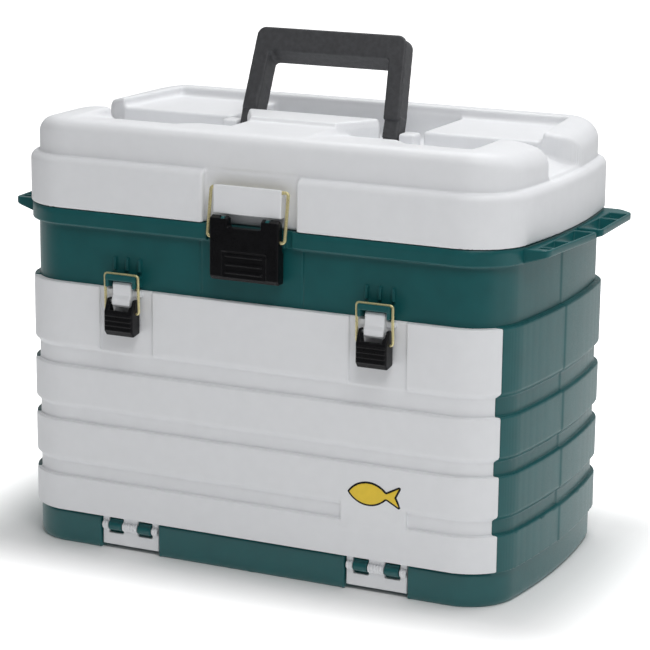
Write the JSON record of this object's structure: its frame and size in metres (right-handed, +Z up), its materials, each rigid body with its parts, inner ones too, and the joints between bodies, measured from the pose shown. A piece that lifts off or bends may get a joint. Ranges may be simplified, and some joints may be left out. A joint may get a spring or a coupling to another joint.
{
  "type": "fishing tackle box",
  "caption": "Moulded tackle box with a fold-down latched front door, sliding drawers, side bait racks, a lift-out tray and a hinged lid with a folding handle.",
  "frame": {"origin": "middle of the base's footprint, on the ground", "axes": "+X to the right seen from the front, +Y to the rear, +Z up; the door and latches face -Y"},
  "size_m": [0.6012, 0.3335, 0.5202],
  "materials": {
    "green_plastic": "satin, fine moulded grain",
    "ivory_plastic": "satin, fine moulded grain, cool off-white",
    "charcoal_grip": "pebbled matte",
    "black_plastic": "semi-gloss",
    "brass_wire": "bright drawn wire",
    "steel_pin": "drawn",
    "drawer_plastic": "smooth translucent grey"
  },
  "bodies": {
    "body": {"body_shell": "green_plastic", "left_runner_panel": "green_plastic", "right_runner_panel": "green_plastic", "lift_out_tray": "ivory_plastic", "tray_divider_1": "drawer_plastic", "tray_divider_2": "drawer_plastic", "tray_divider_3": "drawer_plastic", "left_main_latch_pin": "steel_pin", "right_main_latch_pin": "steel_pin", "left_lid_hinge_pin": "steel_pin", "right_lid_hinge_pin": "steel_pin"},
    "lid": {"lid_shell": "ivory_plastic", "left_handle_pin": "steel_pin", "right_handle_pin": "steel_pin"},
    "handle": {"handle": "charcoal_grip"},
    "main_lever": {"main_latch_lever": "black_plastic"},
    "main_bail": {"main_latch_bail": "brass_wire"},
    "door": {"front_door": "ivory_plastic", "left_door_hinge_pin": "steel_pin", "right_door_hinge_pin": "steel_pin", "left_latch_pin": "steel_pin", "right_latch_pin": "steel_pin"},
    "left_lever": {"left_latch_lever": "black_plastic"},
    "left_bail": {"left_latch_bail": "brass_wire"},
    "right_lever": {"right_latch_lever": "black_plastic"},
    "right_bail": {"right_latch_bail": "brass_wire"},
    "drawer_1": {"drawer_1": "drawer_plastic", "drawer_1_divider_1": "drawer_plastic", "drawer_1_divider_2": "drawer_plastic", "drawer_1_divider_3": "drawer_plastic"},
    "drawer_2": {"drawer_2": "drawer_plastic", "drawer_2_divider_1": "drawer_plastic", "drawer_2_divider_2": "drawer_plastic", "drawer_2_divider_3": "drawer_plastic"},
    "drawer_3": {"drawer_3": "drawer_plastic", "drawer_3_divider_1": "drawer_plastic", "drawer_3_divider_2": "drawer_plastic", "drawer_3_divider_3": "drawer_plastic"},
    "drawer_4": {"drawer_4": "drawer_plastic", "drawer_4_divider_1": "drawer_plastic", "drawer_4_divider_2": "drawer_plastic", "drawer_4_divider_3": "drawer_plastic"}
  },
  "joints": [
    {"name": "lid_hinge", "type": "hinge", "parent": "body", "child": "lid", "pos_m": [0, 0.1596, 0.351], "axis": [-1, 0, 0], "range_deg": [0, 100]},
    {"name": "handle_fold", "type": "hinge", "parent": "lid", "child": "handle", "pos_m": [0, 0.0047, 0.417], "axis": [-1, 0, 0], "range_deg": [0, 71]},
    {"name": "main_lever_pivot", "type": "hinge", "parent": "body", "child": "main_lever", "pos_m": [0, -0.16, 0.3565], "axis": [-1, 0, 0], "range_deg": [0, 80]},
    {"name": "main_bail_pivot", "type": "hinge", "parent": "main_lever", "child": "main_bail", "pos_m": [0, -0.16, 0.3395], "axis": [-1, 0, 0], "range_deg": [-60, 0]},
    {"name": "door_hinge", "type": "hinge", "parent": "body", "child": "door", "pos_m": [0, -0.146, 0.025], "axis": [1, 0, 0], "range_deg": [0, 90]},
    {"name": "left_lever_pivot", "type": "hinge", "parent": "door", "child": "left_lever", "pos_m": [-0.137, -0.16, 0.2635], "axis": [-1, 0, 0], "range_deg": [0, 80]},
    {"name": "left_bail_pivot", "type": "hinge", "parent": "left_lever", "child": "left_bail", "pos_m": [-0.137, -0.16, 0.2525], "axis": [-1, 0, 0], "range_deg": [-60, 0]},
    {"name": "right_lever_pivot", "type": "hinge", "parent": "door", "child": "right_lever", "pos_m": [0.137, -0.16, 0.2635], "axis": [-1, 0, 0], "range_deg": [0, 80]},
    {"name": "right_bail_pivot", "type": "hinge", "parent": "right_lever", "child": "right_bail", "pos_m": [0.137, -0.16, 0.2525], "axis": [-1, 0, 0], "range_deg": [-60, 0]},
    {"name": "drawer_1_slide", "type": "slide", "parent": "body", "child": "drawer_1", "axis": [0, -1, 0], "range_m": [0, 0.2047]},
    {"name": "drawer_2_slide", "type": "slide", "parent": "body", "child": "drawer_2", "axis": [0, -1, 0], "range_m": [0, 0.1968]},
    {"name": "drawer_3_slide", "type": "slide", "parent": "body", "child": "drawer_3", "axis": [0, -1, 0], "range_m": [0, 0.134]},
    {"name": "drawer_4_slide", "type": "slide", "parent": "body", "child": "drawer_4", "axis": [0, -1, 0], "range_m": [0, 0.0539]}
  ],
  "couplings": [
    {"joint": "main_bail_pivot", "follows": "main_lever_pivot", "ratio": -0.68},
    {"joint": "left_bail_pivot", "follows": "left_lever_pivot", "ratio": -0.71},
    {"joint": "right_bail_pivot", "follows": "right_lever_pivot", "ratio": -0.71},
    {"joint": "drawer_1_slide", "follows": "door_hinge", "m_per_rad": 0.13},
    {"joint": "drawer_2_slide", "follows": "door_hinge", "m_per_rad": 0.125},
    {"joint": "drawer_3_slide", "follows": "door_hinge", "m_per_rad": 0.085},
    {"joint": "drawer_4_slide", "follows": "door_hinge", "m_per_rad": 0.034}
  ]
}
